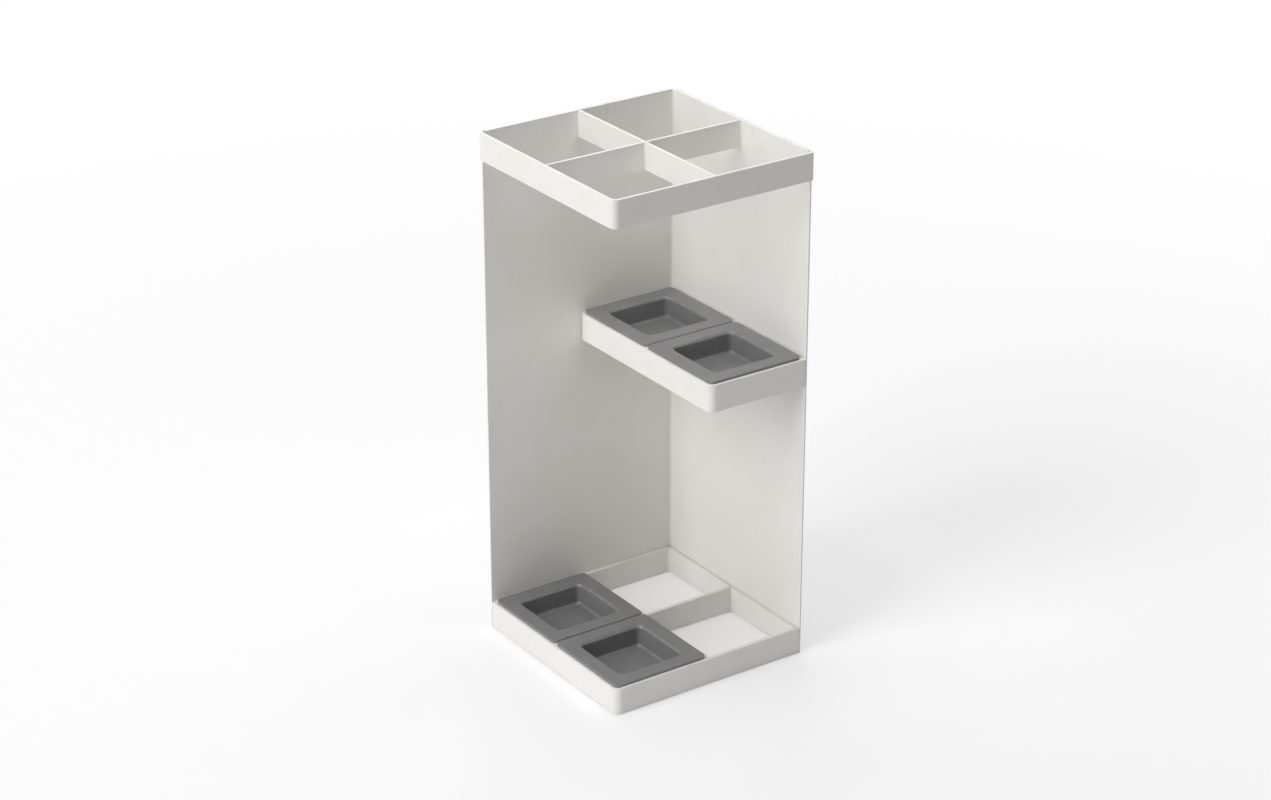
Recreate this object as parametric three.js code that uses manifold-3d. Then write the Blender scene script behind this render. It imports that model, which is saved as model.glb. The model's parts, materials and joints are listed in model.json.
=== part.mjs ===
// Umbrella stand, in millimetres, +Z up.
//
// Two closed back walls are one sheet bent to an L. Three frames of bent flat bar join it: a square
// band round the outside of the top, a half-size shelf frame at mid height and a square foot frame
// on the floor. Slotted flat bars divide the frames into cells, and four drip cups lift out of the
// shelf and foot cells. The stand is open towards -X and -Y.
//
// The origin is on the floor, under the middle of the walls' square footprint.

import * as THREE from 'three';
import { mergeVertices } from 'three/addons/utils/BufferGeometryUtils.js';
import Module from 'manifold-3d';

// Driving dimensions of the steel frame

const footprintX = 160; // open front to the outside of the right-hand wall
const footprintY = 160; // open front to the outside of the back wall
const height = 380; // floor to the top edge of the walls and the band
const wallSheet = 1.2; // thickness of the wall sheet
const wallBendRadius = 1.8; // inside radius of the walls' one bend
const bandThickness = 2; // thickness of the flat bar in the top band and the dividers in it
const barThickness = 3; // thickness of the heavier flat bar in the shelf and foot frames and dividers
const barBendRadius = 2.8; // inside radius of the frames' corners
const groundCornerRadius = 1; // frame corner welded to a wall's free edge, filled and ground back
const bandHeight = 20; // width of the flat bar in the top band
const shelfFrameHeight = 20; // width of the flat bar in the shelf frame
const footFrameHeight = 20; // width of the flat bar in the foot frame
const dividerHeight = 19.5; // width of the flat bar in the dividers
const shelfTop = 229; // floor to the top edge of the shelf frame

// Driving dimensions of a drip cup

const rimThickness = 2; // flat plate that lies on the frame
const rimCornerRadius = 4; // corners of that plate, seen from above
const rimEdgeRadius = 0.5; // rounding of its top edge
const rimGap = 1; // between two rims that meet over a divider
const bowlMargin = 12.8; // rim's edge to the bowl's straight walls, on all four sides
const bowlCornerRadius = 4.5; // corners of the bowl, seen from above
const bowlDepth = 15.5; // rim's top face to the bowl's floor
const bowlDraft = 1; // how far each bowl wall leans in between rim and floor
const bowlLipRadius = 2; // rounding where the rim turns down into the bowl
const bowlFloorRadius = 2.5; // rounding between the bowl's walls and floor
const cupWall = 1.8; // thickness of the bowl's walls and floor
const skirtDepth = 4; // rib under the rim that keeps the cup in its cell
const skirtThickness = 1.6; // of that rib

// Clearances

const weldGap = 0.1; // between faces that are welded on the real stand
const lapGap = 0.1; // on each side of a divider in the other's slot
const notchDrop = 0.3; // how far the wall's corner notches reach below the band
const notchGap = 0.3; // past the band's inside bend
const skirtGap = 0.25; // between a cup's rib and the frame, all round

// How finely curves are cut

const bendSteps = 8; // facets round a bend
const cupCornerSteps = 6; // facets round a cup's corners
const cupEdgeSteps = 4; // facets round a cup's rounded edges

// Places that follow from the sizes

const left = -footprintX / 2;
const right = footprintX / 2;
const front = -footprintY / 2;
const back = footprintY / 2;
const frameRight = right - wallSheet - weldGap; // outside of the frames that stand inside the walls
const frameBack = back - wallSheet - weldGap;
const middleX = (left + frameRight) / 2; // middle plane of the dividers that run front to back
const middleY = (front + frameBack) / 2; // middle plane of the dividers that run side to side
const cellX = middleX - left - barThickness * 1.5; // clear width of a cell
const cellY = middleY - front - barThickness * 1.5;

const steel = { color: 0xebe7e3, roughness: 0.55, metalness: 0 };
const moulded = { color: 0x7c7c7d, roughness: 0.6, metalness: 0 };

const object = new THREE.Group();

function addMesh(name, geometry, finish) {
  const mesh = new THREE.Mesh(geometry, new THREE.MeshStandardMaterial(finish));
  mesh.name = name;
  object.add(mesh);
  return mesh;
}

// Points of an arc, both ends included.
function arc(centreX, centreY, radius, startAngle, endAngle, steps) {
  return Array.from({ length: steps + 1 }, (_, i) => {
    const angle = startAngle + ((endAngle - startAngle) * i) / steps;
    return new THREE.Vector2(centreX + radius * Math.cos(angle), centreY + radius * Math.sin(angle));
  });
}

// Points of a rectangle with rounded corners, anticlockwise from its right front corner. The radii
// are its corners' in that order.
function roundedRectangle(x0, x1, y0, y1, radii, steps) {
  const quarter = Math.PI / 2;
  const [rightFront, rightBack, leftBack, leftFront] = radii;
  return [
    ...arc(x1 - rightFront, y0 + rightFront, rightFront, -quarter, 0, steps),
    ...arc(x1 - rightBack, y1 - rightBack, rightBack, 0, quarter, steps),
    ...arc(x0 + leftBack, y1 - leftBack, leftBack, quarter, 2 * quarter, steps),
    ...arc(x0 + leftFront, y0 + leftFront, leftFront, 2 * quarter, 3 * quarter, steps),
  ];
}

function extrude(points, depth, holes = []) {
  const shape = new THREE.Shape(points);
  shape.holes = holes.map((hole) => new THREE.Path(hole));
  return new THREE.ExtrudeGeometry(shape, { depth, bevelEnabled: false });
}

// Cutting with manifold-3d

const wasm = await Module();
wasm.setup();

function toSolid(geometry) {
  const bare = geometry.clone();
  bare.deleteAttribute('normal');
  bare.deleteAttribute('uv');
  const merged = mergeVertices(bare);
  return new wasm.Manifold(new wasm.Mesh({
    numProp: 3,
    vertProperties: merged.attributes.position.array,
    triVerts: new Uint32Array(merged.index.array),
  }));
}

function toGeometry(solid) {
  const { vertProperties, triVerts } = solid.getMesh();
  const geometry = new THREE.BufferGeometry();
  geometry.setAttribute('position', new THREE.BufferAttribute(vertProperties, 3));
  geometry.setIndex(new THREE.BufferAttribute(triVerts, 1));
  return geometry;
}

// Walls: an L of sheet, its two free edges flush with the open fronts. A notch in each free edge
// lets the sheet pass inside the bent corners of the top band.

function wallGeometry() {
  const outerRadius = wallBendRadius + wallSheet;
  const cornerX = right - outerRadius;
  const cornerY = back - outerRadius;
  const outline = [
    new THREE.Vector2(right, front),
    ...arc(cornerX, cornerY, outerRadius, 0, Math.PI / 2, bendSteps),
    new THREE.Vector2(left, back),
    new THREE.Vector2(left, back - wallSheet),
    ...arc(cornerX, cornerY, wallBendRadius, Math.PI / 2, 0, bendSteps),
    new THREE.Vector2(right - wallSheet, front),
  ];
  const notchLength = barBendRadius + notchGap;
  const notchHeight = bandHeight + notchDrop;
  // A block that covers one notch and stands past the sheet on its open sides.
  const notch = (x, y) => {
    const block = new THREE.BoxGeometry(2 * notchLength, 2 * notchLength, 2 * notchHeight);
    return toSolid(block.translate(x, y, height));
  };
  const sheet = toSolid(extrude(outline, height));
  return toGeometry(sheet.subtract(notch(left, back)).subtract(notch(right, front)));
}

addMesh('wall_panel', wallGeometry(), steel);

// Frames: flat bar on edge, bent to a closed rectangle. The sizes given are its outside faces. A
// corner that meets a wall's free edge has its outside filled with weld and ground to a small radius.

const bandBent = barBendRadius + bandThickness; // outside radius of a bent corner
const bent = barBendRadius + barThickness;
const ground = groundCornerRadius;

function frame(name, x0, x1, y0, y1, top, barHeight, thickness, outerRadii) {
  const inner = roundedRectangle(
    x0 + thickness, x1 - thickness, y0 + thickness, y1 - thickness,
    Array(4).fill(barBendRadius), bendSteps,
  );
  const outer = roundedRectangle(x0, x1, y0, y1, outerRadii, bendSteps);
  addMesh(name, extrude(outer, barHeight, [inner]), steel).position.z = top - barHeight;
}

const bandOffset = weldGap + bandThickness; // the band's outside, past the walls and the open fronts
const shelfLeft = middleX - barThickness / 2; // the shelf's left bar is under a top divider

frame('top_band', left - bandOffset, right + bandOffset, front - bandOffset, back + bandOffset,
  height, bandHeight, bandThickness, Array(4).fill(bandBent));
frame('shelf_frame', shelfLeft, frameRight, front, frameBack, shelfTop, shelfFrameHeight,
  barThickness, [ground, bent, bent, bent]);
frame('foot_frame', left, frameRight, front, frameBack, footFrameHeight, footFrameHeight,
  barThickness, [ground, bent, ground, bent]);

// Dividers: flat bar on edge. slotFrom says which edge the half-lap slot is cut from, if any.

function dividerGeometry(length, thickness, slotFrom) {
  const end = length / 2;
  const slot = thickness / 2 + lapGap;
  const lower = dividerHeight / 2 - lapGap / 2;
  const upper = dividerHeight / 2 + lapGap / 2;
  const bottomEdge = [[-end, 0]];
  const topEdge = [[end, dividerHeight]];
  if (slotFrom === 'bottom') bottomEdge.push([-slot, 0], [-slot, upper], [slot, upper], [slot, 0]);
  if (slotFrom === 'top') {
    topEdge.push([slot, dividerHeight], [slot, lower], [-slot, lower], [-slot, dividerHeight]);
  }
  const outline = [...bottomEdge, [end, 0], ...topEdge, [-end, dividerHeight]];
  const points = outline.map(([along, up]) => new THREE.Vector2(along, up));
  // Stand the outline up, with the bar's thickness shared between both sides of its middle plane.
  return extrude(points, thickness).translate(0, 0, -thickness / 2).rotateX(Math.PI / 2);
}

function dividerAcross(name, x0, x1, top, thickness, slotFrom) {
  const geometry = dividerGeometry(x1 - x0 - 2 * weldGap, thickness, slotFrom);
  const mesh = addMesh(name, geometry, steel);
  mesh.position.set((x0 + x1) / 2, middleY, top - dividerHeight);
}

function dividerAlong(name, y0, y1, top, thickness, slotFrom) {
  const geometry = dividerGeometry(y1 - y0 - 2 * weldGap, thickness, slotFrom);
  const mesh = addMesh(name, geometry, steel);
  mesh.rotation.z = Math.PI / 2;
  mesh.position.set(middleX, (y0 + y1) / 2, top - dividerHeight);
}

const footLeft = left + barThickness; // inside faces of the foot and shelf frames
const footFront = front + barThickness;
const insideRight = frameRight - barThickness;
const insideBack = frameBack - barThickness;
const shelfInsideLeft = shelfLeft + barThickness;

dividerAcross('top_divider_across', left - weldGap, right - wallSheet, height, bandThickness, 'bottom');
dividerAlong('top_divider_along', front - weldGap, back - wallSheet, height, bandThickness, 'top');
dividerAcross('shelf_divider', shelfInsideLeft, insideRight, shelfTop, barThickness, 'none');
dividerAcross('foot_divider_across', footLeft, insideRight, footFrameHeight, barThickness, 'bottom');
dividerAlong('foot_divider_along', footFront, insideBack, footFrameHeight, barThickness, 'top');

// Cups: every level of the moulding is a rounded rectangle, so a cup is a profile carried round it.
// A level is its inset from the rim's edge and its height above the frame's top edge. Its corners
// are concentric with one corner that is known: the rim's, the frame's inside bend or the bowl's.

const rimBearing = (barThickness - rimGap) / 2; // width of the rim's seat on each bar

function levels(corner, points) {
  return points.map(([inset, z]) => ({ inset, z, radius: corner.radius + corner.inset - inset }));
}

// Rounded edge of a profile, as [inset, z] points round a centre. Angle 0 points into the cup.
function edge(inset, z, radius, startAngle, endAngle) {
  return arc(inset, z, radius, startAngle, endAngle, cupEdgeSteps).map((p) => [p.x, p.y]);
}

function cupProfile() {
  const quarter = Math.PI / 2;
  const floorZ = rimThickness - bowlDepth;
  const floorEdge = bowlMargin + bowlDraft + bowlFloorRadius;
  const skirtInset = rimBearing + skirtGap;
  const rim = { inset: 0, radius: rimCornerRadius };
  const bend = { inset: rimBearing, radius: barBendRadius };
  const bowl = { inset: bowlMargin, radius: bowlCornerRadius };
  return [
    // Outside of the bowl, from its underside up to the rim
    ...levels(bowl, [
      ...edge(floorEdge, floorZ + bowlFloorRadius, bowlFloorRadius + cupWall, -quarter, -2 * quarter),
      [bowlMargin - cupWall, 0],
    ]),
    // Rib that sits inside the frame
    ...levels(bend, [
      [skirtInset + skirtThickness, 0],
      [skirtInset + skirtThickness, -skirtDepth],
      [skirtInset, -skirtDepth],
      [skirtInset, 0],
    ]),
    // Edge of the rim
    ...levels(rim, [
      [0, 0],
      ...edge(rimEdgeRadius, rimThickness - rimEdgeRadius, rimEdgeRadius, 2 * quarter, quarter),
    ]),
    // Lip, walls and floor of the bowl
    ...levels(bowl, [
      ...edge(bowlMargin - bowlLipRadius, rimThickness - bowlLipRadius, bowlLipRadius, quarter, 0),
      ...edge(floorEdge, floorZ + bowlFloorRadius, bowlFloorRadius, 2 * quarter, 3 * quarter),
    ]),
  ];
}

function cupGeometry() {
  const halfX = cellX / 2 + rimBearing;
  const halfY = cellY / 2 + rimBearing;
  const profile = cupProfile();
  const rings = profile.map(({ inset, z, radius }) => {
    const x = halfX - inset;
    const y = halfY - inset;
    const outline = roundedRectangle(-x, x, -y, y, Array(4).fill(radius), cupCornerSteps);
    return outline.map((p) => [p.x, p.y, z]);
  });
  const count = rings[0].length;
  const ends = [[0, 0, profile[0].z], [0, 0, profile.at(-1).z]]; // middle of the underside and the floor
  const positions = [...rings.flat(), ...ends].flat();
  const underMiddle = rings.length * count;
  const floorMiddle = underMiddle + 1;
  const lastRing = (rings.length - 1) * count;
  const faces = [];
  for (let i = 0; i < count; i += 1) {
    const next = (i + 1) % count;
    faces.push(underMiddle, next, i, floorMiddle, lastRing + i, lastRing + next);
    for (let ring = 0; ring < lastRing; ring += count) {
      const above = ring + count;
      faces.push(ring + i, ring + next, above + next, ring + i, above + next, above + i);
    }
  }
  const geometry = new THREE.BufferGeometry();
  geometry.setAttribute('position', new THREE.Float32BufferAttribute(positions, 3));
  geometry.setIndex(faces);
  return geometry;
}

const leftCells = footLeft + cellX / 2;
const rightCells = middleX + barThickness / 2 + cellX / 2;
const frontCells = footFront + cellY / 2;
const backCells = middleY + barThickness / 2 + cellY / 2;

const cups = [
  ['foot_cup_front', leftCells, frontCells, footFrameHeight],
  ['foot_cup_back', leftCells, backCells, footFrameHeight],
  ['shelf_cup_front', rightCells, frontCells, shelfTop],
  ['shelf_cup_back', rightCells, backCells, shelfTop],
];
for (const [name, x, y, seat] of cups) addMesh(name, cupGeometry(), moulded).position.set(x, y, seat);

export default object;
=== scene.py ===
# %% [markdown]
# # A square umbrella stand
#
# The stand is sheet steel and flat steel bar under one warm white powder coat, with four moulded
# drip cups that lift out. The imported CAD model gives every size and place. This lesson builds a
# finer piece over each CAD node, with edges rounded as a coat leaves them, and then adds the
# finishes, the floor, the light and the camera.
#
# Lengths are written in millimetres, as on a workshop drawing, and become metres in the mesh.

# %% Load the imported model
import json
import math

import bpy
import numpy as np
from mathutils import Matrix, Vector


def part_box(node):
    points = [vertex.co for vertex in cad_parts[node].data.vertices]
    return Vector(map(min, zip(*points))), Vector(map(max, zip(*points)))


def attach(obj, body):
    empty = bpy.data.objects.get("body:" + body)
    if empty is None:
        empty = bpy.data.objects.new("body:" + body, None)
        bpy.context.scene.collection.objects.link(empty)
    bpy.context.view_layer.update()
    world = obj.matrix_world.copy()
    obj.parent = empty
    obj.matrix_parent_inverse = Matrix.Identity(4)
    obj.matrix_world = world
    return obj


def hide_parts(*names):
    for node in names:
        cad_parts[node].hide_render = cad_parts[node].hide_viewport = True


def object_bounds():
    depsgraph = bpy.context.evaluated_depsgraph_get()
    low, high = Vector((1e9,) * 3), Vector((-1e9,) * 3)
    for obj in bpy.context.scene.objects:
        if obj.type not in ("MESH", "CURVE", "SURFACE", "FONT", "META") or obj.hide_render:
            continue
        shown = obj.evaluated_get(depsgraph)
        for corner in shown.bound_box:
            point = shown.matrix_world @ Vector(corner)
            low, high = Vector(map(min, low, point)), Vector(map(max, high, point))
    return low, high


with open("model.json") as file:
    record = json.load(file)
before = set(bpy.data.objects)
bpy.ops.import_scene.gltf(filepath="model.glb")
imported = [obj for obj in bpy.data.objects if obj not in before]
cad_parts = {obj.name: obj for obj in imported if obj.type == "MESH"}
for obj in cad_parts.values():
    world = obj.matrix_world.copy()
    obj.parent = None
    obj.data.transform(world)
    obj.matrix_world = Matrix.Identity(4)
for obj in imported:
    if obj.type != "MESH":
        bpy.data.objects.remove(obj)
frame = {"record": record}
cad_bounds = [list(corner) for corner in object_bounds()]
MM = 0.001
print("CAD box in mm:", np.round(np.array(cad_bounds) / MM, 2).tolist())

# %% [markdown]
# ## Sizes read from the frame
#
# A CAD node's place is in its mesh, so its box gives its outside faces. A divider is of the same
# flat bar as the frame round it, which is lighter in the top band than in the shelf and the foot.
# The step from the walls to the inside of the top band is the gap that the CAD leaves at a weld. On
# the real stand the band is drawn tight against the walls and the dividers' ends are welded, so
# those gaps are closed here. The two lower frames stand inside the walls and are only welded here
# and there, so a hairline stays open between them and the walls.

# %% Sizes of the steel


def box_mm(node):
    """Lowest and highest corner of a CAD node, in millimetres."""
    return [np.array(corner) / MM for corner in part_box(node)]


def thickness(divider):
    """Thickness of a divider, and so of the bar of the frame round it."""
    low, high = box_mm(divider)
    return (high - low)[:2].min()


walls_low, walls_high = box_mm("wall_panel")
band_low, band_high = box_mm("top_band")
foot_low, foot_high = box_mm("foot_frame")
band_bar = thickness("top_divider_along")
lower_bar = thickness("foot_divider_along")  # of the shelf too
weld_gap = band_high[0] - band_bar - walls_high[0]
sheet = walls_high[0] - weld_gap - foot_high[0]

WALL_BEND = 1.8  # inside radius of the bend between the two walls
BAR_BEND = 2.8  # inside radius of a bar's bends
GROUND_CORNER = 0.5  # a bar's corner that is welded to a wall's free edge and ground flush
COAT_EDGE = 0.15  # radius of a sheared edge once it is tumbled and coated
HAIRLINE = 0.15  # open joint between the walls and the frames that stand inside them
FOOT_LIFT = 0.3  # the walls stand on the floor, and the foot's bars just clear it
print(f"sheet {sheet:.2f}, bars {band_bar:.2f} and {lower_bar:.2f}, weld gap {weld_gap:.2f} mm")

# %% [markdown]
# ## From arrays to a piece
#
# Every shape is worked out as whole numpy arrays: a grid of points over two parameters, and the
# quads between neighbours. It could also be modelled by hand from a cube with many bevels, but an
# array keeps every radius exact. The functions here give the quads of a grid, rounded rectangles,
# which serve both as bent bars seen from above and as a bar's own section, and the finished piece.

# %% Grid faces


def grid_faces(rows, columns, wrap_rows=False, wrap_columns=False):
    """Quads of a grid of points stored row by row, joined end to end where a direction wraps.

    Quad (i, j) has the corners (i, j), (i, j + 1), (i + 1, j + 1) and (i + 1, j).
    """
    i = np.arange(rows if wrap_rows else rows - 1)[:, None]
    j = np.arange(columns if wrap_columns else columns - 1)[None, :]
    i_next, j_next = (i + 1) % rows, (j + 1) % columns
    corners = (i, j), (i, j_next), (i_next, j_next), (i_next, j)
    return np.stack([row * columns + column for row, column in corners], -1).reshape(-1, 4)


# %% Rounded rectangles


def rounded_rectangle(low, high, radii, steps):
    """Points round a rectangle with rounded corners, anticlockwise from its right front corner.

    Corner k is an arc from k - 1 to k quarter turns, about a centre one radius in from both sides.
    low, high and radii may carry leading dimensions, for many rectangles at once.
    """
    low, high, radii = (np.asarray(value, float)[..., None] for value in (low, high, radii))
    signs = np.array([[1, -1], [1, 1], [-1, 1], [-1, -1]])
    corner = np.where(signs > 0, np.swapaxes(high, -1, -2), np.swapaxes(low, -1, -2))
    centre = corner - signs * radii
    turn = (np.arange(4)[:, None] - 1 + np.linspace(0, 1, steps + 1)) * math.pi / 2
    arc = np.stack([np.cos(turn), np.sin(turn)], -1)
    points = centre[..., None, :] + radii[..., None] * arc
    return points.reshape(*points.shape[:-3], -1, 2)


print("corners of a 2 x 1 rectangle:", rounded_rectangle([0, 0], [2, 1], [0] * 4, 1).tolist()[::2])

# %% A piece from its arrays

pieces = {"powder_coated_steel": [], "moulded_grey": []}  # by the record's material slots
SMOOTH_BELOW = math.radians(38)  # faces that meet at a smaller angle are one curve


def make_piece(name, points, faces, slot, body, nodes, closed=True):
    """Makes a smooth-shaded piece from points in millimetres, which rides on its CAD body.

    The volume inside a closed mesh is the sum of a . (b x c) / 6 over its triangles. It is negative
    where the faces point inwards, and then they are all turned round.
    """
    mesh = bpy.data.meshes.new(name)
    mesh.from_pydata((np.asarray(points) * MM).tolist(), [], [list(face) for face in faces])
    mesh.shade_smooth()
    mesh.set_sharp_from_angle(angle=SMOOTH_BELOW)
    if closed:
        mesh.calc_loop_triangles()
        corners = np.empty(3 * len(mesh.loop_triangles), np.int32)
        mesh.loop_triangles.foreach_get("vertices", corners)
        a, b, c = np.asarray(points)[corners.reshape(-1, 3)].transpose(1, 0, 2)
        volume = np.einsum("ij,ij->", a, np.cross(b, c)) / 6
        if volume < 0:
            mesh.flip_normals()
        print(f"{name}: {len(mesh.polygons)} faces round {abs(volume) / 1000:.2f} cm3")
    piece = bpy.data.objects.new(name, mesh)
    bpy.context.scene.collection.objects.link(piece)
    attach(piece, body)
    if nodes:
        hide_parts(*nodes)
    pieces[slot].append(piece)
    return piece


def even_shading(piece):
    """Weights each normal by face area, so that flat faces stay flat up to their rounded edges."""
    modifier = piece.modifiers.new("even shading", "WEIGHTED_NORMAL")
    modifier.keep_sharp = True


# %% [markdown]
# ## Bent frames
#
# The top band, the shelf frame and the foot frame are flat bar bent on edge to a closed rectangle.
# A curve with a bevel object would do, but the inside and the outside of a bend need their own
# radii where a corner is ground square to meet a wall's free edge. So the bar's section, a
# rectangle with the coat's small edge radius, is carried round between two outlines.

# %% Frame bars

BEND_STEPS = 14
EDGE_STEPS = 5


def frame_bar(name, node, bar, inner, outer, inner_radii, outer_radii, lift=0):
    """A bar carried round a rectangle, from its inner outline (low, high) to its outer one.

    Its section says how far across the bar and how high up each point is. A point at a share s
    across the bar is the inner outline's point plus s times the step from there to the outer
    outline's point at the same turn.
    """
    low, high = box_mm(node)
    section = rounded_rectangle(
        [0, low[2] + lift], [bar, high[2]], [COAT_EDGE] * 4, EDGE_STEPS
    )
    inside = rounded_rectangle(*inner, inner_radii, BEND_STEPS)
    outside = rounded_rectangle(*outer, outer_radii, BEND_STEPS)
    share = section[:, None, :1] / bar
    plan = inside + share * (outside - inside)
    height = np.broadcast_to(section[:, None, 1:], (*plan.shape[:2], 1))
    points = np.concatenate([plan, height], -1)
    faces = grid_faces(*points.shape[:2], wrap_rows=True, wrap_columns=True)
    piece = make_piece(
        name, points.reshape(-1, 3), faces, "powder_coated_steel", "stand", [node]
    )
    even_shading(piece)
    return piece


# %% Top band

inner_bends = [BAR_BEND] * 4
inner = band_low[:2] + band_bar, band_high[:2] - band_bar - weld_gap
outer_bends = [BAR_BEND + band_bar] * 4
frame_bar(
    "top_band_bar", "top_band", band_bar, inner, (band_low[:2], band_high[:2]),
    inner_bends, outer_bends,
)

# %% [markdown]
# The lower frames are bent in the same way, but where one of their corners comes out at a wall's
# free edge, the weld there is ground flush and the corner is nearly square. The shelf frame has one
# such corner, at the right in front, and the foot frame has two.

# %% Shelf frame and foot frame

opening = HAIRLINE - weld_gap
for name, lift, ground in ("shelf_frame", 0, [0]), ("foot_frame", FOOT_LIFT, [0, 2]):
    low, high = (end[:2] for end in box_mm(name))
    bent = BAR_BEND + lower_bar - opening
    outer_bends = [GROUND_CORNER if k in ground else bent for k in range(4)]
    inner = low + lower_bar, high - lower_bar
    outer = low, high - opening
    frame_bar(name + "_bar", name, lower_bar, inner, outer, inner_bends, outer_bends, lift)

# %% [markdown]
# ## Walls
#
# The two closed walls are one sheet with one bend. The laser cuts the flat blank with a notch at
# the top of each free edge, so that the sheet can pass inside the band's bent corners. It is made
# here in the same order: a flat grid, less the notches' cells, then the bend, and then Solidify for
# the thickness and Bevel for the coated edges.

# %% Blanks cut from sheet


def kept_cells(along, up, cut):
    """Points and quads of a flat blank, from its grid lines and a test for the cells cut away.

    cut takes the middles of all cells. Points that no kept cell uses are left out.
    """
    points = np.stack(np.meshgrid(along, up), -1).reshape(-1, 2)
    faces = grid_faces(len(up), len(along))
    middles = points[faces].mean(1)
    used, corners = np.unique(faces[~cut(*middles.T)], return_inverse=True)
    return points[used], corners.reshape(-1, 4)


def flat_stock(name, points, faces, thickness_mm, nodes):
    """Sheet or bar from its middle surface: given its thickness both ways, and rounded edges."""
    piece = make_piece(name, points, faces, "powder_coated_steel", "stand", nodes, closed=False)
    thick = piece.modifiers.new("thickness", "SOLIDIFY")
    thick.thickness = thickness_mm * MM
    thick.offset = 0
    thick.use_even_offset = True
    edges = piece.modifiers.new("coated edges", "BEVEL")
    edges.width = COAT_EDGE * MM
    edges.segments = EDGE_STEPS - 1
    edges.limit_method = "ANGLE"
    edges.angle_limit = SMOOTH_BELOW
    edges.harden_normals = True
    return piece


# %% The bent wall sheet

NOTCH_PAST_BEND = 0.3  # how far a notch reaches past the band's inside bend
NOTCH_BELOW_BAND = 0.3

straight = walls_high[1] - walls_low[1] - WALL_BEND - sheet
bend_radius = WALL_BEND + sheet / 2  # of the sheet's middle
bend_length = bend_radius * math.pi / 2
blank_length = 2 * straight + bend_length
notch_length = BAR_BEND + NOTCH_PAST_BEND
notch_bottom = band_low[2] - NOTCH_BELOW_BAND


def bend_walls(along, up):
    """Folds the blank: y grows along the right-hand wall, x falls along the back one.

    In between, the turn t grows from 0 to a quarter, and the point is r cos t and r sin t from the
    bend's centre.
    """
    turn = np.clip(along - straight, 0, bend_length) / bend_radius
    past = np.maximum(along - straight - bend_length, 0)
    x = walls_high[0] - sheet / 2 - bend_radius * (1 - np.cos(turn)) - past
    y = walls_low[1] + np.minimum(along, straight) + bend_radius * np.sin(turn)
    return np.stack([x, y, up], -1)


along = np.concatenate([
    [0, notch_length], straight + np.linspace(0, bend_length, BEND_STEPS + 1),
    [blank_length - notch_length, blank_length],
])
up = [walls_low[2], notch_bottom, walls_high[2]]
blank, cells = kept_cells(along, up, lambda s, z: (
    (z > notch_bottom) & ((s < notch_length) | (s > blank_length - notch_length))
))
flat_stock("wall_sheet", bend_walls(*blank.T), cells, sheet, ["wall_panel"])
print(f"wall blank {blank_length:.1f} x {walls_high[2]:.0f} mm, bent once")

# %% [markdown]
# ## Dividers
#
# The dividers are straight bar on edge. Where two cross, each has a slot half its height, and they
# slide into each other like an egg crate. Their ends are welded, so here they reach a little way
# into the bar or the wall that holds them, and no gap shows.

# %% Slotted bars

SLOT_PLAY = 0.03  # on each side of the bar in a slot, once both are coated
END_BURIED = 0.6  # how far an end reaches into what it is welded to


def divider(node, axis, slot_from=None, lift=0):
    """A bar along axis 0 (side to side) or 1 (front to back), with a slot from an edge or none."""
    low, high = box_mm(node)
    middle = (low + high) / 2
    reach = weld_gap + END_BURIED
    halfway = (low[2] + high[2]) / 2
    bar = thickness(node)
    slot = bar / 2 + SLOT_PLAY
    along = [low[axis] - reach, middle[axis] - slot, middle[axis] + slot, high[axis] + reach]
    up = [low[2] + lift, halfway, high[2]]
    blank, cells = kept_cells(along, up, lambda s, z: (
        (abs(s - middle[axis]) < slot)
        & {None: z < low[2], "bottom": z < halfway, "top": z > halfway}[slot_from]
    ))
    points = np.empty((len(blank), 3))
    points[:, axis], points[:, 2] = blank.T
    points[:, 1 - axis] = middle[1 - axis]
    return flat_stock(node + "_bar", points, cells, bar, [node])


divider("top_divider_across", 0, "bottom")
divider("top_divider_along", 1, "top")
divider("foot_divider_across", 0, "bottom", FOOT_LIFT)
divider("foot_divider_along", 1, "top", FOOT_LIFT)
divider("shelf_divider", 0)

# %% [markdown]
# ## Filled corners
#
# Where a divider meets a bar or a wall, a thin line of weld runs down the corner, and the coat
# gathers on it. So the corner is softly hollow, and never a sharp line. A fillet's section is a
# quarter circle drawn the hollow way, with two sides buried in the steel. It is carried up
# the corner, and gets thinner at both ends as a weld does.

# %% Section of a fillet

FILLET = 0.9  # radius of the hollow
FILLET_STEPS = 7
BURIED = 0.3  # how far its hidden sides reach into the steel
FILLET_SIZES = np.array([0.4, 1, 1, 0.7, 0.3])  # share of full size, at five heights upwards
ABOVE_BOTTOM = np.array([0.2, 0.9])  # where the first two heights lie
BELOW_TOP = np.array([1.3, 0.7, 0.4])  # where the other three lie


def fillet_section():
    """Two buried sides, and between them an arc of radius r about (r, r), hollow side out."""
    turn = -math.pi / 2 * (1 + np.linspace(0, 1, FILLET_STEPS + 1))
    arc = FILLET * (1 + np.stack([np.cos(turn), np.sin(turn)], -1))
    return np.concatenate([[[-BURIED, -BURIED], [FILLET, -BURIED]], arc, [[-BURIED, FILLET]]])


def fillets(corners, bottom, top):
    """Fillets between two heights, for corners given as x, y and the x and y direction out of them.

    A point is the corner plus the section times those directions. In a mirrored corner the
    section's two axes change places, so that every fillet runs round the same way.
    """
    corners = np.array(corners, float)
    section = fillet_section()
    mirrored = corners[:, 2] * corners[:, 3] < 0
    local = np.where(mirrored[:, None, None], section[:, ::-1], section)
    height = np.concatenate([bottom + ABOVE_BOTTOM, top - BELOW_TOP])
    spread = local[:, None] * corners[:, None, None, 2:]
    plan = corners[:, None, None, :2] + FILLET_SIZES[:, None, None] * spread
    return np.concatenate([plan, np.broadcast_to(height[:, None, None], (*plan.shape[:3], 1))], -1)


# %% Corners to fill


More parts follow.
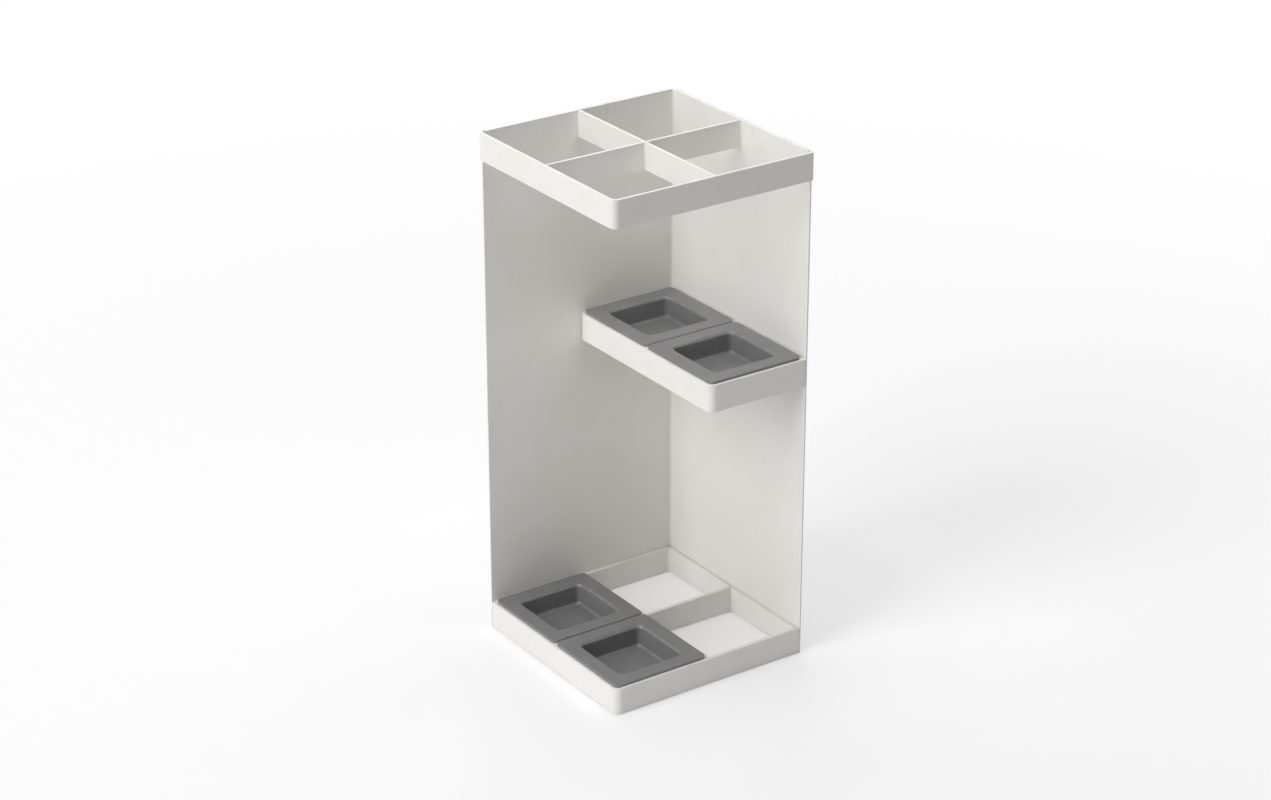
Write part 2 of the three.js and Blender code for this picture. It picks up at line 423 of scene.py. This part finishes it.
def spans(low, high, axis, node=None):
    """Clear spans from one inside face to the other, split by a divider if there is one."""
    if node is None:
        return [(low[axis], high[axis])]
    divider_low, divider_high = box_mm(node)
    return [(low[axis], divider_low[axis]), (divider_high[axis], high[axis])]


def divider_corners(across, along):
    """The cells' corners, with their directions, less the four that are the frame's own bends."""
    own = {across[0][0], across[-1][1]}, {along[0][0], along[-1][1]}
    return [
        (x, y, x_way, y_way)
        for span in across for x, x_way in zip(span, (1, -1))
        for other in along for y, y_way in zip(other, (1, -1))
        if not (x in own[0] and y in own[1])
    ]


inside = {
    # the faces that the dividers' ends meet
    "top": (band_low + band_bar, walls_high - sheet),
    "shelf": (box_mm("shelf_frame")[0] + lower_bar, box_mm("shelf_frame")[1] - lower_bar),
    "foot": (foot_low + lower_bar, foot_high - lower_bar),
}
stacks = []
for place, along_node, across_node in (
    ("top", "top_divider_along", "top_divider_across"),
    ("shelf", None, "shelf_divider"),
    ("foot", "foot_divider_along", "foot_divider_across"),
):
    corners = divider_corners(
        spans(*inside[place], 0, along_node), spans(*inside[place], 1, across_node)
    )
    low, high = box_mm(across_node)
    lift = FOOT_LIFT if place == "foot" else 0
    stacks.append(fillets(corners, low[2] + lift, high[2]))
stacks = np.concatenate(stacks)

# %% All fillets as one piece

count, rows, around = stacks.shape[:3]
starts = np.arange(count)[:, None, None] * rows * around
sides = grid_faces(rows, around, wrap_columns=True) + starts
ring = np.arange(around)
ends = [starts[:, 0] + ring[::-1], starts[:, 0] + (rows - 1) * around + ring]
make_piece(
    "corner_fillets", stacks.reshape(-1, 3),
    [face for group in (sides.reshape(-1, 4), *ends) for face in group.tolist()],
    "powder_coated_steel", "stand", [],
)
print(count, "filled corners")

# %% [markdown]
# ## Drip cups
#
# A drip cup is a shallow square bowl with a flat rim that lies on the frame, and a rib under the
# rim that keeps it in its cell. Every level of the moulding is a rounded rectangle. So the cup is
# one profile, from the middle of its underside out round the rim and back to the middle of its
# floor, carried round the square.

# %% Profile of a cup

RIM_THICKNESS = 2.0
RIM_CORNER = 4.0  # radius of its corners, seen from above
RIM_EDGE = 0.5  # radius of its upper edge
RIM_UNDER_EDGE = 0.15  # and of its lower one
RIM_GAP = 1.0  # between two rims that meet over a divider

BOWL_MARGIN = 12.8  # from the rim's edge in to the bowl
BOWL_CORNER = 4.5  # radius of its corners there
BOWL_DEPTH = 15.5  # from the rim's top down to the bowl's floor
BOWL_DRAFT = 1.0  # how far its walls lean in on the way down
LIP_RADIUS = 2.6
FLOOR_RADIUS = 2.5  # between walls and floor
CUP_WALL = 1.8

SKIRT_DEPTH = 4.0  # of the rib under the rim
SKIRT_THICKNESS = 1.6
SKIRT_GAP = 0.25  # its play inside the bars
SKIRT_EDGE = 0.3

CUP_STEPS = 8  # of each rounding in the profile
CUP_CORNER_STEPS = 14  # of each corner seen from above


def rounding(inset, level, radius, first, last):
    """A rounded edge of the profile, turning about (inset, level), in quarter turns."""
    turn = np.linspace(first, last, CUP_STEPS + 1) * math.pi / 2
    return np.stack([inset + radius * np.cos(turn), level + radius * np.sin(turn)], -1)


floor_level = RIM_THICKNESS - BOWL_DEPTH
floor_inset = BOWL_MARGIN + BOWL_DRAFT + FLOOR_RADIUS
rim_bearing = (lower_bar - RIM_GAP) / 2  # width of the rim's seat on each bar
skirt = rim_bearing + SKIRT_GAP
skirt_inner = skirt + SKIRT_THICKNESS
under = rounding(floor_inset, floor_level + FLOOR_RADIUS, FLOOR_RADIUS + CUP_WALL, -1, -2)
profile = [
    # (points of the profile, a corner's radius, the inset at which it has that radius)
    (np.concatenate([under, [[BOWL_MARGIN - CUP_WALL, 0]]]), BOWL_CORNER, BOWL_MARGIN),
    (np.concatenate([
        [[skirt_inner, 0]],
        rounding(skirt_inner - SKIRT_EDGE, SKIRT_EDGE - SKIRT_DEPTH, SKIRT_EDGE, 0, -1),
        rounding(skirt + SKIRT_EDGE, SKIRT_EDGE - SKIRT_DEPTH, SKIRT_EDGE, -1, -2),
        [[skirt, 0]],
    ]), BAR_BEND, rim_bearing),
    (np.concatenate([
        rounding(RIM_UNDER_EDGE, RIM_UNDER_EDGE, RIM_UNDER_EDGE, -1, -2),
        rounding(RIM_EDGE, RIM_THICKNESS - RIM_EDGE, RIM_EDGE, 2, 1),
    ]), RIM_CORNER, 0),
    (np.concatenate([
        rounding(BOWL_MARGIN - LIP_RADIUS, RIM_THICKNESS - LIP_RADIUS, LIP_RADIUS, 1, 0),
        rounding(floor_inset, floor_level + FLOOR_RADIUS, FLOOR_RADIUS, 2, 3),
    ]), BOWL_CORNER, BOWL_MARGIN),
]
inset, level = np.concatenate([points for points, _, _ in profile]).T
corner = np.concatenate([
    radius + known_at - points[:, 0] for points, radius, known_at in profile
])
print(f"cup profile: {len(inset)} points, tightest corner {corner.min():.2f} mm")

# %% Four cups


def cup(node, body):
    """Carries the profile round the cup's square: a level's outline is the rim's, moved in."""
    low, high = box_mm(node)
    seat = high[2] - RIM_THICKNESS
    plan = rounded_rectangle(
        low[:2] + inset[:, None], high[:2] - inset[:, None],
        np.repeat(corner[:, None], 4, 1), CUP_CORNER_STEPS,
    )
    height = np.broadcast_to((seat + level)[:, None, None], (*plan.shape[:2], 1))
    points = np.concatenate([plan, height], -1)
    rows, columns = points.shape[:2]
    faces = grid_faces(rows, columns, wrap_columns=True).tolist()
    last = (rows - 1) * columns
    faces += [list(range(columns))[::-1], list(range(last, last + columns))]
    piece = make_piece(
        node + "_moulding", points.reshape(-1, 3), faces, "moulded_grey", body, [node]
    )
    even_shading(piece)
    middle = (low + high) / 2
    from_middle = points.reshape(-1, 3) - [middle[0], middle[1], high[2]]
    place = piece.data.attributes.new("in_cup", "FLOAT_VECTOR", "POINT")
    place.data.foreach_set("vector", from_middle.astype(np.float32).ravel())
    return piece


for body, nodes in frame["record"]["behaviour"]["bodies"].items():
    for node in nodes:
        if "cup" in node:
            cup(node, body)

# %% [markdown]
# ## Colours and nodes
#
# A finish is a small tree of nodes. Colours are written as on a colour card, in sRGB hex, and one
# function turns them to the linear values that a shader works in. Another adds a node. Each
# finish is built up in layers, as it is in life: the base colour with its slow variation, then what
# use has left on it, each with a mask that says where.

# %% Colour and node helpers


def linear(code):
    """Linear RGBA of an sRGB hex value: v / 12.92 below 0.04045, else a power of 2.4."""
    value = np.array([int(code[i:i + 2], 16) for i in (1, 3, 5)]) / 255
    value = np.where(value <= 0.04045, value / 12.92, ((value + 0.055) / 1.055) ** 2.4)
    return (*value.tolist(), 1)


def add_node(tree, kind, inputs=(), **settings):
    """Adds a shader node with its settings, and fills sockets with values or others' outputs."""
    node = tree.nodes.new("ShaderNode" + kind)
    for name, value in settings.items():
        setattr(node, name, value)
    for socket, value in dict(inputs).items():
        if isinstance(value, bpy.types.NodeSocket):
            tree.links.new(value, node.inputs[socket])
        else:
            node.inputs[socket].default_value = value
    return node


def new_material(name):
    """An empty node material, and its tree."""
    material = bpy.data.materials.new(name)
    material.use_nodes = True
    material.node_tree.nodes.clear()
    return material, material.node_tree


MIX_FACTOR, MIX_UNDER, MIX_OVER, MIX_RESULT = 0, 6, 7, 2  # a colour Mix node's sockets


def layered(tree, under, layers):
    """Lays colours over one another: each layer is a mask and a hex colour."""
    for mask, code in layers:
        over = {MIX_FACTOR: mask, MIX_UNDER: under, MIX_OVER: linear(code)}
        under = add_node(tree, "Mix", over, data_type="RGBA").outputs[MIX_RESULT]
    return under


def summed(tree, total, parts):
    """A number plus a sum of masks, each times its share."""
    for mask, share in parts:
        terms = {0: mask, 1: share, 2: total}
        total = add_node(tree, "Math", terms, operation="MULTIPLY_ADD").outputs[0]
    return total


def masked(tree, *masks):
    """The product of masks."""
    product = masks[0]
    for mask in masks[1:]:
        product = add_node(tree, "Math", {0: product, 1: mask}, operation="MULTIPLY").outputs[0]
    return product


print("warm white is", np.round(linear("#EAE8E4")[:3], 3), "in linear light")

# %% [markdown]
# ## Powder-coated steel
#
# The steel is sprayed with polyester powder and baked. The powder flows to a skin about 0.08 mm
# thick, even in colour, with a satin gloss and a slow waviness called orange peel, about 2 mm from
# wave to wave. The waves are only microns high, and are drawn a few times deeper so that they just
# show in the gloss. Umbrellas rub the upper edges of the bars, where the satin gets a shine and
# here and there a dull mark, leave faint upright scuffs on the faces below, and the foot picks up a
# little dirt from the floor.

# %% Powder coat: patterns and masks

TONE_SIZE = 55  # of one wave of each pattern
SHEEN_SIZE = 14
PEEL_SIZE = 2.0
GRIT_SIZE = 0.7
RUBBED_SIZE = 16
SCUFF_WIDTH = 2
SCUFF_LENGTH = 60
DIRT_HEIGHT = 5

coat, tree = new_material("polyester_powder_coat")
place = add_node(tree, "TexCoord")
here, facing = place.outputs["Object"], place.outputs["Normal"]
up_facing = add_node(tree, "SeparateXYZ", {"Vector": facing}).outputs["Z"]
height = add_node(tree, "SeparateXYZ", {"Vector": here}).outputs["Z"]

# Noise has about one wave for each unit of its scale, so a scale is one over a size.
tone = add_node(tree, "TexNoise", {"Vector": here, "Scale": 1 / (TONE_SIZE * MM), "Detail": 3})
sheen = add_node(tree, "TexNoise", {"Vector": here, "Scale": 1 / (SHEEN_SIZE * MM), "Detail": 4})
peel = add_node(tree, "TexNoise", {"Vector": here, "Scale": 1 / (PEEL_SIZE * MM), "Detail": 1})
grit = add_node(tree, "TexNoise", {"Vector": here, "Scale": 1 / (GRIT_SIZE * MM), "Detail": 2})

tone_mask = add_node(tree, "MapRange", {
    "Value": tone.outputs[0], "From Min": 0.35, "From Max": 0.65,
}, interpolation_type="SMOOTHSTEP").outputs[0]

# The upper edges, in patches about a finger wide
upper_edge = add_node(tree, "MapRange", {
    "Value": up_facing, "From Min": 0.45, "From Max": 0.9,
}, interpolation_type="SMOOTHSTEP").outputs[0]
patches = add_node(tree, "TexNoise", {
    "Vector": here, "Scale": 1 / (RUBBED_SIZE * MM), "Detail": 3,
})
patch_mask = add_node(tree, "MapRange", {
    "Value": patches.outputs[0], "From Min": 0.48, "From Max": 0.66,
}, interpolation_type="SMOOTHSTEP").outputs[0]
rubbed = masked(tree, upper_edge, patch_mask)

# Upright scuffs
across, upright = 1 / (SCUFF_WIDTH * MM), 1 / (SCUFF_LENGTH * MM)
streaks_place = add_node(tree, "Mapping", {
    "Vector": here, "Scale": (across, across, upright),
})
streaks = add_node(tree, "TexNoise", {
    "Vector": streaks_place.outputs[0], "Scale": 1.0, "Detail": 3, "Roughness": 0.6,
})
streak_mask = add_node(tree, "MapRange", {
    "Value": streaks.outputs[0], "From Min": 0.58, "From Max": 0.74,
}, interpolation_type="SMOOTHSTEP").outputs[0]
scuffed = masked(tree, streak_mask, patch_mask)

# Dirt near the floor, broken up by the grit
near_floor = add_node(tree, "MapRange", {
    "Value": height, "From Min": 0, "From Max": DIRT_HEIGHT * MM, "To Min": 1, "To Max": 0,
}, interpolation_type="SMOOTHSTEP").outputs[0]
dirty = masked(tree, near_floor, grit.outputs[0])

# %% Powder coat: shader

PEEL_HEIGHT = 0.035

coat_colour = layered(tree, linear("#EAE8E4"), [
    (masked(tree, tone_mask, 0.5), "#E5E2DC"),
    (masked(tree, rubbed, 0.35), "#D6D3CE"),
    (masked(tree, scuffed, 0.14), "#BDB8B2"),
    (masked(tree, dirty, 0.16), "#B5ABA0"),
])
coat_roughness = summed(tree, 0.38, [
    (sheen.outputs[0], 0.1), (upper_edge, -0.06), (rubbed, 0.1), (scuffed, 0.12), (dirty, 0.1),
])
coat_height = summed(tree, 0, [(peel.outputs[0], 1), (grit.outputs[0], 0.12)])
coat_bump = add_node(tree, "Bump", {
    "Height": coat_height, "Strength": 1, "Distance": PEEL_HEIGHT * MM,
})
shader = add_node(tree, "BsdfPrincipled", {
    "Base Color": coat_colour, "Roughness": coat_roughness, "IOR": 1.5,
    "Normal": coat_bump.outputs[0],
})
add_node(tree, "OutputMaterial", {"Surface": shader.outputs[0]})
print("powder coat:", len(tree.nodes), "nodes")

# %% [markdown]
# ## Moulded polypropylene
#
# The cups are injection moulded in mid grey polypropylene, from a mould with a spark-eroded
# surface. That leaves an even, fine grain with a soft sheen, no gloss. The real grain is about
# 0.3 mm, and it is drawn at 0.8 mm so that it can be seen at all. Rims and lips are polished a
# little by handling, and their rounded edges carry a painted highlight, a lighter colour. Drops
# dry on the bowl's floor and leave a pale tide mark, and the tips of umbrellas scratch it.
#
# A cup is known to the finish by an attribute, the place from the rim's middle in millimetres, so
# that the tide mark and the scratches stay in the bowl and move with the cup.

# %% Moulded cups: patterns and masks

GRAIN_SIZE = 0.8  # of one wave of each pattern
BLEND_SIZE = 28
HAZE_SIZE = 7
FLOOR_FADE = (1.5, 0.5)  # above the bowl's floor, where its marks begin and are full
RING_AT, RING_HALF, RING_WANDER = 25, 0.9, 14
RING_INSIDE = (24.5, 18)  # where the stain inside the ring begins and is full
SCRATCH_APART, SCRATCH_LENGTH = 3, 40
SCRATCH_ANGLES = (25, -50)

moulded, tree = new_material("moulded_polypropylene")
place = add_node(tree, "TexCoord")
here, facing = place.outputs["Object"], place.outputs["Normal"]
up_facing = add_node(tree, "SeparateXYZ", {"Vector": facing}).outputs["Z"]
in_cup = add_node(tree, "Attribute", attribute_name="in_cup").outputs["Vector"]
below_rim = add_node(tree, "SeparateXYZ", {"Vector": in_cup}).outputs["Z"]

grain = add_node(tree, "TexNoise", {"Vector": here, "Scale": 1 / (GRAIN_SIZE * MM), "Detail": 2})
tone = add_node(tree, "TexNoise", {"Vector": here, "Scale": 1 / (BLEND_SIZE * MM), "Detail": 3})
haze = add_node(tree, "TexNoise", {"Vector": here, "Scale": 1 / (HAZE_SIZE * MM), "Detail": 4})
haze_mask = add_node(tree, "MapRange", {
    "Value": haze.outputs[0], "From Min": 0.42, "From Max": 0.7,
}, interpolation_type="SMOOTHSTEP").outputs[0]

# Rounded edges, neither flat nor upright: a little polished, and painted lighter as a highlight
leaning = add_node(tree, "MapRange", {
    "Value": up_facing, "From Min": 0.2, "From Max": 0.5,
}, interpolation_type="SMOOTHSTEP").outputs[0]
not_flat = add_node(tree, "MapRange", {
    "Value": up_facing, "From Min": 0.8, "From Max": 0.98, "To Min": 1, "To Max": 0,
}, interpolation_type="SMOOTHSTEP").outputs[0]
polish_and_painted_highlight = masked(tree, leaning, not_flat)

# The bowl's floor, and on it a wavering ring where water has dried. The wander is added to the
# distance from the middle, half of it on average, so the ring's radius is about 25 - 7 = 18 mm.
on_floor = add_node(tree, "MapRange", {
    "Value": below_rim,
    "From Min": -BOWL_DEPTH + FLOOR_FADE[0], "From Max": -BOWL_DEPTH + FLOOR_FADE[1],
}, interpolation_type="SMOOTHSTEP").outputs[0]
flat = add_node(tree, "VectorMath", {0: in_cup, 1: (1, 1, 0)}, operation="MULTIPLY").outputs[0]
from_centre = add_node(tree, "VectorMath", {0: flat}, operation="LENGTH").outputs["Value"]
wander = summed(tree, from_centre, [(tone.outputs[0], RING_WANDER)])
ring = add_node(tree, "Math", {
    0: wander, 1: RING_AT, 2: RING_HALF,
}, operation="COMPARE").outputs[0]
inside_ring = add_node(tree, "MapRange", {
    "Value": wander, "From Min": RING_INSIDE[0], "From Max": RING_INSIDE[1],
}, interpolation_type="SMOOTHSTEP").outputs[0]

# Scratches: the thin lines where a stretched noise passes its middle value
scratches = None
for angle in SCRATCH_ANGLES:
    turned = add_node(tree, "Mapping", {
        "Vector": in_cup, "Rotation": (0, 0, math.radians(angle)),
        "Scale": (1 / SCRATCH_APART, 1 / SCRATCH_LENGTH, 0),
    })
    lines = add_node(tree, "TexNoise", {"Vector": turned.outputs[0], "Scale": 1.0, "Detail": 1})
    thin = add_node(tree, "Math", {0: lines.outputs[0], 1: 0.5, 2: 0.006}, operation="COMPARE")
    scratches = thin.outputs[0] if scratches is None else summed(
        tree, scratches, [(thin.outputs[0], 1)]
    )
scratched = masked(tree, on_floor, scratches, haze_mask)

# %% Moulded cups: shader

GRAIN_HEIGHT = 0.06

cup_colour = layered(tree, linear("#7C7C7D"), [
    (masked(tree, tone.outputs[0], 0.5), "#747475"),
    (masked(tree, haze_mask, 0.12), "#989896"),
    # painted highlight: the rounded rims and lips are drawn lighter
    (masked(tree, polish_and_painted_highlight, 0.2), "#9A9A9A"),
    (masked(tree, on_floor, inside_ring, 0.05), "#A5A39F"),
    (masked(tree, on_floor, ring, 0.05), "#B5B2AC"),
    (masked(tree, scratched, 0.3), "#A0A09E"),
])
cup_roughness = summed(tree, 0.26, [
    (haze_mask, 0.08), (grain.outputs[0], 0.1), (polish_and_painted_highlight, -0.08),
])
cup_bump = add_node(tree, "Bump", {
    "Height": grain.outputs[0], "Strength": 1, "Distance": GRAIN_HEIGHT * MM,
})
shader = add_node(tree, "BsdfPrincipled", {
    "Base Color": cup_colour, "Roughness": cup_roughness, "IOR": 1.49,
    "Normal": cup_bump.outputs[0],
})
add_node(tree, "OutputMaterial", {"Surface": shader.outputs[0]})
print("moulded polypropylene:", len(tree.nodes), "nodes")

# %% Finishes on the pieces

for slot, material in ("powder_coated_steel", coat), ("moulded_grey", moulded):
    for piece in pieces[slot]:
        piece.data.materials.append(material)
    print(material.name, "on", len(pieces[slot]), "pieces")

# %% [markdown]
# ## Floor
#
# The stand is shown on a sweep of white board. One large square does for it. Round the stand it is
# lit as any surface is, so it takes the shadow and throws light back up. Further out it fades to
# plain white, for the camera and for reflections only, and seen from below it is clear, so that
# the stand's underside can be looked at.

# %% Floor of white board

FLOOR_HALF = 3000
FLOOR_DROP = 0.1  # below the stand, so that no two faces lie on each other
FADE_FROM, FADE_TO = 250, 1300
GLOW = 0.3  # share of plain white beside the stand

mesh = bpy.data.meshes.new("floor")
corners = np.array([[-1, -1, 0], [1, -1, 0], [1, 1, 0], [-1, 1, 0]]) * FLOOR_HALF
mesh.from_pydata(((corners - [0, 0, FLOOR_DROP]) * MM).tolist(), [], [[0, 1, 2, 3]])
floor = bpy.data.objects.new("floor", mesh)
bpy.context.scene.collection.objects.link(floor)


def seen_directly(tree):
    """1 for rays from the camera, off gloss and through glass, and 0 for the light that falls."""
    path = add_node(tree, "LightPath").outputs
    seen = path["Is Camera Ray"]
    for kind in "Is Glossy Ray", "Is Transmission Ray":
        seen = add_node(tree, "Math", {0: seen, 1: path[kind]}, operation="MAXIMUM").outputs[0]
    return seen


# %% Its finish

board, tree = new_material("white_board")
lit = add_node(tree, "BsdfPrincipled", {
    "Base Color": linear("#F8F7F8"), "Roughness": 0.6, "IOR": 1.45,
})
place = add_node(tree, "TexCoord")
reach = add_node(tree, "VectorMath", {0: place.outputs["Object"]}, operation="LENGTH")
far = add_node(tree, "MapRange", {
    "Value": reach.outputs["Value"], "From Min": FADE_FROM * MM, "From Max": FADE_TO * MM,
    "To Min": GLOW,
}, interpolation_type="SMOOTHSTEP")
white = add_node(tree, "Emission", {"Color": (1, 1, 1, 1), "Strength": 1})
from_above = add_node(tree, "MixShader", {
    0: masked(tree, seen_directly(tree), far.outputs[0]), 1: lit.outputs[0], 2: white.outputs[0],
})
below = masked(
    tree,
    add_node(tree, "NewGeometry").outputs["Backfacing"],
    add_node(tree, "LightPath").outputs["Is Camera Ray"],
)
clear = add_node(tree, "BsdfTransparent")
surface = add_node(tree, "MixShader", {0: below, 1: from_above.outputs[0], 2: clear.outputs[0]})
add_node(tree, "OutputMaterial", {"Surface": surface.outputs[0]})
floor.data.materials.append(board)

# %% [markdown]
# ## Light
#
# The light is that of a small studio. A tall softbox stands on the left and lights the left faces.
# One overhead lights the floor, which throws light up to the faces that no lamp reaches. Broad ones
# behind and on the right light the closed walls' outsides. Together they light a plain surface
# about as brightly as its colour is written. A little light comes from all round, and the
# background is white only where it is seen.

# %% World

AMBIENT = 0.05

world = bpy.data.worlds.new("studio")
bpy.context.scene.world = world
world.use_nodes = True
tree = world.node_tree
tree.nodes.clear()
level = add_node(tree, "MapRange", {"Value": seen_directly(tree), "To Min": AMBIENT, "To Max": 1})
sky = add_node(tree, "Background", {"Color": (1, 1, 1, 1), "Strength": level.outputs[0]})
add_node(tree, "OutputWorld", {"Surface": sky.outputs[0]})

# %% Lamps

middle = (np.array(cad_bounds[0]) + np.array(cad_bounds[1])) / 2


def facing_from(azimuth, elevation):
    """Rows right, up and back of a view at the middle from an azimuth and an elevation.

    The azimuth turns from +X towards +Y. Back is (cos a cos e, sin a cos e, sin e), right is level
    and square to it, and up is back x right.
    """
    a, e = math.radians(azimuth), math.radians(elevation)
    back = np.array([math.cos(a) * math.cos(e), math.sin(a) * math.cos(e), math.sin(e)])
    right = np.array([-math.sin(a), math.cos(a), 0])
    return right, np.cross(back, right), back


def aim(item, azimuth, elevation, distance, target):
    """Places a lamp or camera, which look along their own -Z, so that it faces the target."""
    right, up, back = facing_from(azimuth, elevation)
    turned = np.eye(4)
    turned[:3] = np.stack([right, up, back, target + distance * back], 1)
    item.matrix_world = Matrix(turned.tolist())


def softbox(name, azimuth, elevation, distance, width, height, power):
    """A rectangular lamp of so many watts, facing the stand's middle. Lengths are in metres."""
    lamp = bpy.data.lights.new(name, "AREA")
    lamp.shape = "RECTANGLE"
    lamp.size, lamp.size_y = width, height
    lamp.energy = power
    holder = bpy.data.objects.new(name, lamp)
    bpy.context.scene.collection.objects.link(holder)
    aim(holder, azimuth, elevation, distance, middle)


softbox("left softbox", 185, 27, 3.2, 1.75, 3.2, 74)
softbox("back softbox", 80, 38, 2.2, 2.0, 1.2, 11)
softbox("right softbox", 5, 22, 2.2, 2.0, 1.0, 11)
softbox("overhead softbox", 180, 89.9, 2.2, 1.6, 1.6, 28)

# %% [markdown]
# ## Camera
#
# The stand is seen from its open left front corner and from above, through a long lens some way
# off, so that its uprights stay nearly parallel.

# %% Camera

CAMERA_AZIMUTH = -124.7
CAMERA_ELEVATION = 24.3
CAMERA_DISTANCE = 2.2
SENSOR = 36
FOCAL_LENGTH = 89.4
AIM_RIGHT, AIM_UP = -6.6, -0.8  # of the stand's middle

lens = bpy.data.cameras.new("camera")
lens.sensor_width = SENSOR
lens.lens = FOCAL_LENGTH
lens.clip_end = 50
camera = bpy.data.objects.new("camera", lens)
bpy.context.scene.collection.objects.link(camera)
bpy.context.scene.camera = camera
right, up, _ = facing_from(CAMERA_AZIMUTH, CAMERA_ELEVATION)
target = middle + (AIM_RIGHT * right + AIM_UP * up) * MM
aim(camera, CAMERA_AZIMUTH, CAMERA_ELEVATION, CAMERA_DISTANCE, target)
bpy.context.scene.view_settings.view_transform = "Standard"
